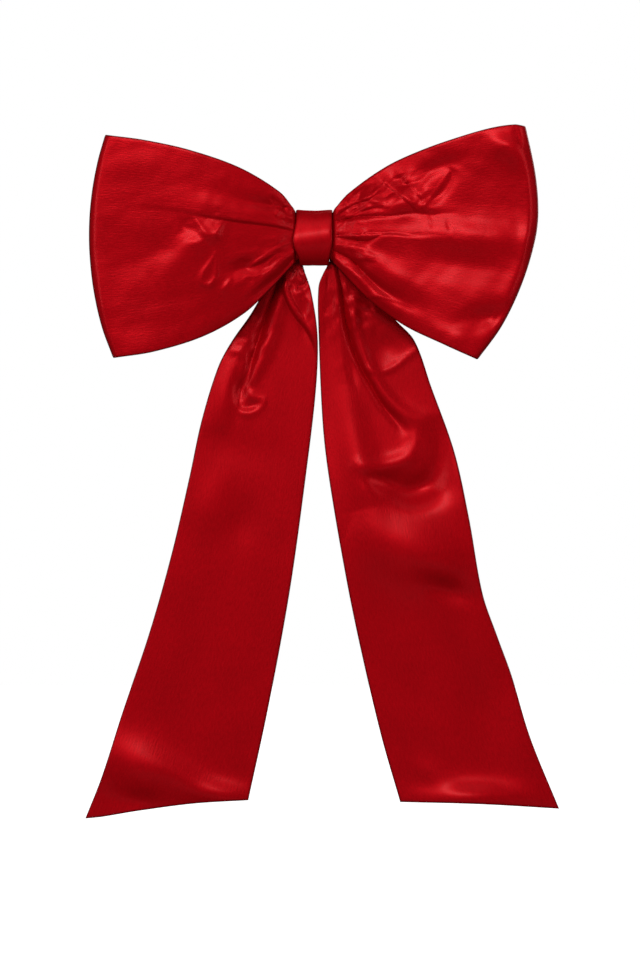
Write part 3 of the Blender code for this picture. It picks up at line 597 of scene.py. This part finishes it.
def satin_material(name, colour):
    material, nodes, links, shader = new_material(name)
    shader.inputs["Metallic"].default_value = 0.36
    shader.inputs["Specular IOR Level"].default_value = 0.1
    shader.inputs["Specular Tint"].default_value = (1.0, 0.2, 0.2, 1)
    shader.inputs["Anisotropic"].default_value = 0.3
    shader.inputs["Coat Weight"].default_value = 0.05
    shader.inputs["Coat Roughness"].default_value = 0.24
    shader.inputs["Coat IOR"].default_value = 1.5
    uv = nodes.new("ShaderNodeUVMap")
    uv.uv_map = "cloth"
    tangent = nodes.new("ShaderNodeTangent")
    tangent.direction_type = "UV_MAP"
    tangent.uv_map = "cloth"
    links.new(tangent.outputs[0], shader.inputs["Tangent"])

    # warp floats: fine streaks along the ribbon
    stretch = nodes.new("ShaderNodeMapping")
    stretch.inputs["Scale"].default_value = (420, 1500, 1)
    links.new(uv.outputs[0], stretch.inputs[0])
    floats = nodes.new("ShaderNodeTexNoise")
    floats.inputs["Scale"].default_value = 1.0
    floats.inputs["Detail"].default_value = 2.0
    links.new(stretch.outputs[0], floats.inputs["Vector"])

    # slow unevenness of the dye and the sheen
    slow = nodes.new("ShaderNodeTexNoise")
    slow.inputs["Scale"].default_value = 55
    slow.inputs["Detail"].default_value = 3
    links.new(uv.outputs[0], slow.inputs["Vector"])

    tint = nodes.new("ShaderNodeMix")
    tint.data_type = "RGBA"
    tint.inputs["A"].default_value = (*[c * 0.7 for c in colour], 1)
    tint.inputs["B"].default_value = (*[c * 1.3 for c in colour], 1)
    blend = nodes.new("ShaderNodeMath")
    blend.operation = "MULTIPLY_ADD"
    blend.inputs[1].default_value = 0.5
    links.new(floats.outputs["Fac"], blend.inputs[0])
    half = nodes.new("ShaderNodeMath")
    half.operation = "MULTIPLY"
    half.inputs[1].default_value = 0.5
    links.new(slow.outputs["Fac"], half.inputs[0])
    links.new(half.outputs[0], blend.inputs[2])
    links.new(blend.outputs[0], tint.inputs["Factor"])

    # painted shade: the colour darkens to about a fifth along the edges and the outer fold, standing in for
    # the shade where the cloth turns away
    rim = nodes.new("ShaderNodeAttribute")
    rim.attribute_name = "rim"
    painted_edge_shade = nodes.new("ShaderNodeMix")
    painted_edge_shade.data_type = "RGBA"
    painted_edge_shade.inputs["B"].default_value = (*[c * 0.22 for c in colour], 1)
    links.new(rim.outputs["Fac"], painted_edge_shade.inputs["Factor"])
    links.new(tint.outputs["Result"], painted_edge_shade.inputs["A"])
    links.new(painted_edge_shade.outputs["Result"], shader.inputs["Base Color"])

    rough = nodes.new("ShaderNodeMapRange")
    rough.inputs["To Min"].default_value = 0.28
    rough.inputs["To Max"].default_value = 0.54
    links.new(floats.outputs["Fac"], rough.inputs["Value"])
    links.new(rough.outputs[0], shader.inputs["Roughness"])

    # faint pulls in the cloth, close together where it is gathered
    pulled = nodes.new("ShaderNodeMapping")
    pulled.inputs["Scale"].default_value = (38, 420, 1)
    links.new(uv.outputs[0], pulled.inputs[0])
    pulls = nodes.new("ShaderNodeTexNoise")
    pulls.inputs["Scale"].default_value = 1.0
    pulls.inputs["Detail"].default_value = 3.0
    links.new(pulled.outputs[0], pulls.inputs["Vector"])
    waved = nodes.new("ShaderNodeBump")
    waved.inputs["Strength"].default_value = 0.6
    waved.inputs["Distance"].default_value = 0.00009
    links.new(pulls.outputs["Fac"], waved.inputs["Height"])

    bump = nodes.new("ShaderNodeBump")
    bump.inputs["Strength"].default_value = 0.6
    bump.inputs["Distance"].default_value = 0.00013
    links.new(floats.outputs["Fac"], bump.inputs["Height"])
    links.new(waved.outputs[0], bump.inputs["Normal"])
    links.new(bump.outputs[0], shader.inputs["Normal"])
    return material


def metal_material():
    material, nodes, links, shader = new_material("nickel plate")
    shader.inputs["Metallic"].default_value = 1.0
    shader.inputs["Base Color"].default_value = (0.46, 0.45, 0.43, 1)
    where = nodes.new("ShaderNodeTexCoord")
    stretch = nodes.new("ShaderNodeMapping")
    stretch.inputs["Scale"].default_value = (60, 1500, 1500)
    links.new(where.outputs["Object"], stretch.inputs[0])
    brushed = nodes.new("ShaderNodeTexNoise")
    brushed.inputs["Scale"].default_value = 1
    brushed.inputs["Detail"].default_value = 4
    links.new(stretch.outputs[0], brushed.inputs["Vector"])
    rough = nodes.new("ShaderNodeMapRange")
    rough.inputs["To Min"].default_value = 0.22
    rough.inputs["To Max"].default_value = 0.42
    links.new(brushed.outputs["Fac"], rough.inputs["Value"])
    links.new(rough.outputs[0], shader.inputs["Roughness"])
    bump = nodes.new("ShaderNodeBump")
    bump.inputs["Strength"].default_value = 0.15
    bump.inputs["Distance"].default_value = 0.00005
    links.new(brushed.outputs["Fac"], bump.inputs["Height"])
    links.new(bump.outputs[0], shader.inputs["Normal"])
    return material


def thread_material():
    material, nodes, links, shader = new_material("sewing thread")
    shader.inputs["Base Color"].default_value = (0.22, 0.004, 0.01, 1)
    shader.inputs["Roughness"].default_value = 0.55
    shader.inputs["Sheen Weight"].default_value = 0.2
    where = nodes.new("ShaderNodeTexCoord")
    twist = nodes.new("ShaderNodeTexWave")
    twist.bands_direction = "DIAGONAL"
    twist.inputs["Scale"].default_value = 900
    twist.inputs["Distortion"].default_value = 1.0
    links.new(where.outputs["Object"], twist.inputs["Vector"])
    bump = nodes.new("ShaderNodeBump")
    bump.inputs["Strength"].default_value = 0.6
    bump.inputs["Distance"].default_value = 0.0001
    links.new(twist.outputs["Fac"], bump.inputs["Height"])
    links.new(bump.outputs[0], shader.inputs["Normal"])
    return material


def felt_material():
    material, nodes, links, shader = new_material("red felt")
    shader.inputs["Roughness"].default_value = 0.95
    shader.inputs["Specular IOR Level"].default_value = 0.1
    shader.inputs["Sheen Weight"].default_value = 0.3
    shader.inputs["Sheen Tint"].default_value = (0.5, 0.06, 0.07, 1)
    where = nodes.new("ShaderNodeTexCoord")
    fibres = nodes.new("ShaderNodeTexNoise")
    fibres.inputs["Scale"].default_value = 900
    fibres.inputs["Detail"].default_value = 6
    fibres.inputs["Distortion"].default_value = 2.5
    links.new(where.outputs["Object"], fibres.inputs["Vector"])
    tint = nodes.new("ShaderNodeMix")
    tint.data_type = "RGBA"
    tint.inputs["A"].default_value = (0.16, 0.003, 0.008, 1)
    tint.inputs["B"].default_value = (0.34, 0.012, 0.02, 1)
    links.new(fibres.outputs["Fac"], tint.inputs["Factor"])
    links.new(tint.outputs["Result"], shader.inputs["Base Color"])
    bump = nodes.new("ShaderNodeBump")
    bump.inputs["Strength"].default_value = 0.9
    bump.inputs["Distance"].default_value = 0.0002
    links.new(fibres.outputs["Fac"], bump.inputs["Height"])
    links.new(bump.outputs[0], shader.inputs["Normal"])
    return material


# ---------- satin pieces ----------

def loop_grid(top, bottom, outer, ridges, laps, bumps, crumples, seed, profile):
    """The middle surface of one loop: out over the front, round the outer fold, and back behind."""
    sign = math.copysign(1, outer[0][0])
    root = [(sign, -7.5), (sign * 1.4, 0), (sign, 7.5)]

    def surface(turn, v):
        """turn runs from 0 at the front of the knot to 1 at the outer fold and 2 behind the knot."""
        turn, v = np.meshgrid(turn, v, indexing="ij")
        s = np.sin(np.minimum(turn, 2 - turn) * math.pi / 2) ** 1.1
        front = turn <= 1
        flat = coons(bottom, top, root, outer, s, v)
        x, z = flat[..., 0], flat[..., 1]
        across = 1 - (2 * v - 1) ** 4

        def depth(profile):
            dense = along(profile, np.linspace(0, 1, 800))
            return np.interp(s * 100, np.maximum.accumulate(dense[:, 0]), dense[:, 1])

        folds = relief(x, z, ridges, laps, bumps, crumples, 0.42) + 0.22 * waves(x, z, seed, 34)
        forward = depth(profile) * (1 - 0.02 * (1 - across) * (1 - ramp(s, 0.9, 1)))
        forward = forward * (1 - 0.42 * (1 - v) ** 6 * (1 - ramp(s, 0.45, 0.9)))
        forward = forward + folds * ramp(s, 0.04, 0.1) * (1 - ramp(s, 0.965, 1.0))
        backward = depth(LOOP_BACK) * (1 - 0.25 * (1 - across) * (1 - ramp(s, 0.7, 1)))
        spread = np.arctan2(z, np.abs(x))
        gathers = np.sin(9 * spread + 1.4 * np.sin(3.1 * spread + seed))
        gathers = gathers * (1.1 + 0.5 * np.sin(5.3 * spread + seed))
        backward = backward + gathers * ramp(s, 0.08, 0.2) * (1 - ramp(s, 0.2, 0.75))
        backward = backward + 0.6 * waves(x, z, seed + 7, 30) * ramp(s, 0.1, 0.3) * (1 - ramp(s, 0.8, 1.0))
        fold_y = profile[-1][1]
        backward = backward - (fold_y + LOOP_BACK[-1][1]) * ramp(s, 0.6, 1)
        lean = (0.005 if sign > 0 else -0.03) * (z + 15 + np.sqrt((z + 15) ** 2 + 100)) * ramp(s, 0.05, 0.3)
        if sign > 0:
            by_knot = ramp(s, 0.08, 0.18) * (1 - ramp(s, 0.35, 0.6))
            lean = lean + 0.045 * (z + 12 + np.sqrt((z + 12) ** 2 + 36)) * by_knot
            lean = lean - 0.034 * (z - 15 + np.sqrt((z - 15) ** 2 + 9)) * ramp(s, 0.5, 0.68)
        y = LOOP_MID_Y + np.where(front, lean - forward, lean * ramp(s, 0.5, 1) + backward)
        under_band = 1 - ramp(np.abs(x), 8.2, 9.8)
        ring = np.sqrt(np.clip(1 - (z / 10.8) ** 2, 0, 1))
        y = y + (np.maximum(y, KNOT_Y - 6.8 * ring) - y) * under_band
        return in_view(np.stack([x, y, z], -1))

    t = np.linspace(0, 1, FRONT_ROWS)
    by_fold = np.arange(1, FOLD_ROWS + 1) / FOLD_ROWS
    rows = np.concatenate([0.94 * t * (0.72 + 0.28 * t), 1 - 0.06 * (1 - by_fold) ** 2])
    turn = np.concatenate([np.arcsin(rows ** (1 / 1.1)) * 2 / math.pi, np.linspace(1, 2, 62)[1:]])
    v = with_rims(118, 0.010)
    grid = surface(turn, v)
    coarse = surface(np.linspace(0, 2, 90), np.linspace(0, 1, 48))
    out = np.abs(coarse[..., 0]) / 100
    held = np.full(out.shape, 0.15)
    held[:, [0, -1]] = 1
    held[out < 0.1] = 1
    ease = np.stack([0.012 + 0 * out, 0 * out, 0.02 + 0.22 * np.exp(-((out / 0.28) ** 2))], -1)
    shift = settled(coarse, held, ease, 16, 2.2)
    return grid + resample(shift, turn / 2, v)


def tail_grid(inner, outer, end, ridges, laps, bumps, crumples, seed):
    sign = math.copysign(1, outer[-1][0])
    start = [inner[0], (sign * 2, 0), outer[0]]

    def surface(u, v):
        s, v = np.meshgrid(u, v, indexing="ij")
        flat = coons(inner, outer, start, end, s, v)
        x, z = flat[..., 0], flat[..., 1]
        y = -10 + 2.0 * ramp(s, 0.05, 0.2) + 3.0 * np.maximum(s - 0.35, 0)
        folds = relief(x, z, ridges, laps, bumps, crumples, 0.95)
        folds = folds + 0.25 * waves(x, z, seed, 90, 1) * ramp(s, 0.15, 0.4)
        return in_view(np.stack([x, y - folds * ramp(-z, 4, 14), z], -1))

    u = np.concatenate([np.linspace(0, 0.985, 240), 1 - 0.0045 * np.array([2, 1.0, 0.5, 0.22, 0.06, 0])])
    v = with_rims(64, 0.017)
    grid = surface(u, v)
    coarse = surface(np.linspace(0, 1, 118), np.linspace(0, 1, 28))
    down = -coarse[..., 2] / 100
    held = np.full(down.shape, 0.15)
    held[:, [0, -1]] = 1
    held[-1] = 1
    held[down < 0.12] = 1
    ease = np.stack([0.02 + 0.15 * np.exp(-((down / 0.5) ** 2)), 0 * down, 0.01 + 0 * down], -1)
    shift = settled(coarse, held, ease, 14, 1.6)
    return grid + resample(shift, u, v)


def make_knot_band(satin):
    angle = np.linspace(0, 2 * math.pi, 193)
    c, s = np.cos(angle), np.sin(angle)
    before = c < 0
    power = np.where(before, 2 / 3.8, 2 / 2.8)
    ring_y = KNOT_Y + np.sign(c) * np.abs(c) ** power * np.where(before, 9.2, 8.5)
    ring_z = np.sign(s) * np.abs(s) ** power * 11.8
    # two faces of the wrap meet in a soft ridge across the middle
    in_front = ramp(KNOT_Y - ring_y, 2, 7)
    ring_y = ring_y + 0.3 * (np.sqrt((ring_z + 0.4) ** 2 + 2.4**2) - 2.4) * in_front
    v = np.linspace(0, 1, 29)
    half = 8.2 - 1.4 * ramp(-ring_z, 3, 11)
    x = (2 * v[None, :] - 1) * half[:, None]
    x = x - 1.5 * (in_front * np.exp(-((ring_z / 5.5) ** 2)))[:, None] * (1 - v[None, :]) ** 2
    ripple = 0.03 * np.sin(2 * math.pi * v[None, :] * 2.4 + ring_z[:, None] * 0.22)
    ripple = ripple - 0.35 * np.abs(2 * v[None, :] - 1) ** 14
    nrm = np.stack([np.zeros_like(angle), ring_y - KNOT_Y, ring_z * 0.7], -1)
    nrm /= np.linalg.norm(nrm, axis=1, keepdims=True)
    grid = np.stack(np.broadcast_arrays(x, ring_y[:, None], ring_z[:, None]), -1)
    grid = grid + nrm[:, None, :] * ripple[..., None]
    grid[..., 2] *= 1 + 0.05 * (2 * v[None, :] - 1) ** 2 * ramp(ring_z, 2, 11)[:, None]
    grid[..., 2] += (0.14 * in_front * (1 - (ring_z / 11.8) ** 2))[:, None] * grid[..., 0]
    grid = resample(grid, np.linspace(0, 1, 160), with_rims(30, 0.05))
    band = shell("knot_band_satin", grid, 1.0, 0.8, (0, 0, 1), satin, 0.017)
    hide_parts("knot_band")
    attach(band, "bow")


def make_felt_pad():
    """The pad between the gathers and the clip."""
    u, v = np.meshgrid(np.linspace(-1, 1, 60), np.linspace(-1, 1, 60), indexing="ij")
    rounded = 1 - 0.07 * (u * v) ** 4 + 0.006 * waves(u * 9, v * 9, 41, 3)
    y = FELT_Y + 0.05 * waves(u * FELT_HALF, v * FELT_HALF, 43, 2.5)
    grid = np.stack([FELT_HALF * u * rounded, y, FELT_HALF * v * rounded], -1)
    pad = shell("felt_pad_felt", grid, FELT_THICKNESS, 0.9, (0, 1, 0), felt_material(), 0.015)
    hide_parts("felt_pad")
    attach(pad, "bow")


RED = (0.335, 0.0006, 0.0036)
CLOTH_NODES = ("left_loop", "right_loop", "left_tail", "right_tail", "tail_gather", "knot_band", "felt_pad")


def main():
    satin = satin_material("red satin", RED)
    for name, top, bottom, outer, ridges, laps, bumps, crumples, seed, profile in (
        ("left_loop_satin", LEFT_LOOP_TOP, LEFT_LOOP_BOTTOM, LEFT_LOOP_OUTER, LEFT_LOOP_RIDGES,
         LEFT_LOOP_LAPS, LEFT_LOOP_BUMPS, LEFT_LOOP_CRUMPLES, 3, LEFT_LOOP_FRONT),
        ("right_loop_satin", RIGHT_LOOP_TOP, RIGHT_LOOP_BOTTOM, RIGHT_LOOP_OUTER, RIGHT_LOOP_RIDGES,
         RIGHT_LOOP_LAPS, RIGHT_LOOP_BUMPS, RIGHT_LOOP_CRUMPLES, 5, RIGHT_LOOP_FRONT),
    ):
        grid = loop_grid(top, bottom, outer, ridges, laps, bumps, crumples, seed, profile)
        piece = shell(name, grid, SATIN, RIM, (0, -1, 0), satin, 0.105, fold=FRONT_ROWS + FOLD_ROWS - 1)
        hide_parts(name.replace("_satin", ""))
        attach(piece, "bow")

    ends = {
        "left": [LEFT_TAIL_INNER[-1], (-54, -254.3), (-80, -257.7), (-95, -260.2), LEFT_TAIL_OUTER[-1]],
        "right": [RIGHT_TAIL_INNER[-1], (75, -254.6), RIGHT_TAIL_OUTER[-1]],
    }
    for side, inner, outer, ridges, laps, bumps, crumples, seed in (
        ("left", LEFT_TAIL_INNER, LEFT_TAIL_OUTER, LEFT_TAIL_RIDGES, LEFT_TAIL_LAPS, LEFT_TAIL_BUMPS,
         LEFT_TAIL_CRUMPLES, 11),
        ("right", RIGHT_TAIL_INNER, RIGHT_TAIL_OUTER, RIGHT_TAIL_RIDGES, RIGHT_TAIL_LAPS, RIGHT_TAIL_BUMPS,
         RIGHT_TAIL_CRUMPLES, 13),
    ):
        grid = tail_grid(inner, outer, ends[side], ridges, laps, bumps, crumples, seed)
        piece = shell(f"{side}_tail_satin", grid, SATIN, RIM, (0, -1, 0), satin, 0.064)
        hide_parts(f"{side}_tail", "tail_gather")
        hinge = next(j for j in frame["record"]["behaviour"]["joints"] if j["name"] == f"{side}_tail_lift")
        down = np.cross(hinge["axis"], (0, 1, 0))
        down = down / np.linalg.norm(down) * (-1 if down[2] > 0 else 1)
        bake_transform(piece)

    make_knot_band(satin)
    make_felt_pad()
    metal, thread = metal_material(), thread_material()
    for name, node in frame["nodes"].items():
        if name in ("gather_thread", "knot_seam_thread"):
            node.data.materials[0] = thread
        elif name not in CLOTH_NODES:
            node.data.materials[0] = metal


# ---------- camera, light, floor ----------

def make_stage():
    scene = bpy.context.scene
    scene.view_settings.view_transform = "Standard"
    camera = bpy.data.objects.new("camera", bpy.data.cameras.new("camera"))
    scene.collection.objects.link(camera)
    camera.data.lens = 125
    camera.data.sensor_width = 36
    camera.location = [c * MM for c in CAMERA]
    camera.rotation_euler = (math.pi / 2, 0, 0)
    scene.camera = camera

    world = bpy.data.worlds.new("studio")
    scene.world = world
    world.use_nodes = True
    nodes, links = world.node_tree.nodes, world.node_tree.links
    seen = nodes["Background"]
    seen.inputs[0].default_value = (1, 1, 1, 1)
    seen.inputs[1].default_value = 1.0
    dim = nodes.new("ShaderNodeBackground")
    dim.inputs[0].default_value = (1, 1, 1, 1)
    dim.inputs[1].default_value = 0.13
    mix = nodes.new("ShaderNodeMixShader")
    path = nodes.new("ShaderNodeLightPath")
    links.new(path.outputs["Is Camera Ray"], mix.inputs[0])
    links.new(dim.outputs[0], mix.inputs[1])
    links.new(seen.outputs[0], mix.inputs[2])
    links.new(mix.outputs[0], nodes["World Output"].inputs[0])

    def area(name, location, target, size, power):
        light = bpy.data.lights.new(name, "AREA")
        light.shape = "RECTANGLE"
        light.size, light.size_y = size
        light.energy = power
        obj = bpy.data.objects.new(name, light)
        obj.location = location
        obj.rotation_euler = (Vector(target) - Vector(location)).to_track_quat("-Z", "Y").to_euler()
        scene.collection.objects.link(obj)

    area("key", (-0.3, -1.28, 0.5), (0, 0, -0.08), (0.8, 0.28), 12.5)
    area("top", (0.1, -0.9, 1.0), (0, 0, -0.1), (1.2, 0.5), 2.6)
    area("fill", (0.1, -1.3, -0.75), (0, 0, -0.1), (1.2, 0.4), 1.0)
    area("side left", (-1.15, -0.95, 0.2), (0, 0, -0.08), (0.35, 0.9), 5.5)
    area("side right", (1.2, -0.8, 0.1), (0, 0, -0.1), (0.5, 1.0), 5.0)
    area("back", (0.3, 1.3, 0.5), (0, 0, -0.1), (1.2, 1.2), 12.0)

    bm = bmesh.new()
    bmesh.ops.create_grid(bm, x_segments=1, y_segments=1, size=4)
    mesh = bpy.data.meshes.new("floor")
    bm.to_mesh(mesh)
    floor = bpy.data.objects.new("floor", mesh)
    floor.location = (0, 0, -0.45)
    scene.collection.objects.link(floor)
    pale = bpy.data.materials.new("floor")
    pale.use_nodes = True
    shader = pale.node_tree.nodes["Principled BSDF"]
    shader.inputs["Base Color"].default_value = (0.9, 0.9, 0.9, 1)
    shader.inputs["Roughness"].default_value = 0.9
    shader.inputs["Specular IOR Level"].default_value = 0
    shader.inputs["Emission Color"].default_value = (1, 1, 1, 1)
    shader.inputs["Emission Strength"].default_value = 1.1
    mesh.materials.append(pale)
    floor.visible_diffuse = False
    floor.visible_glossy = False


make_stage()
main()
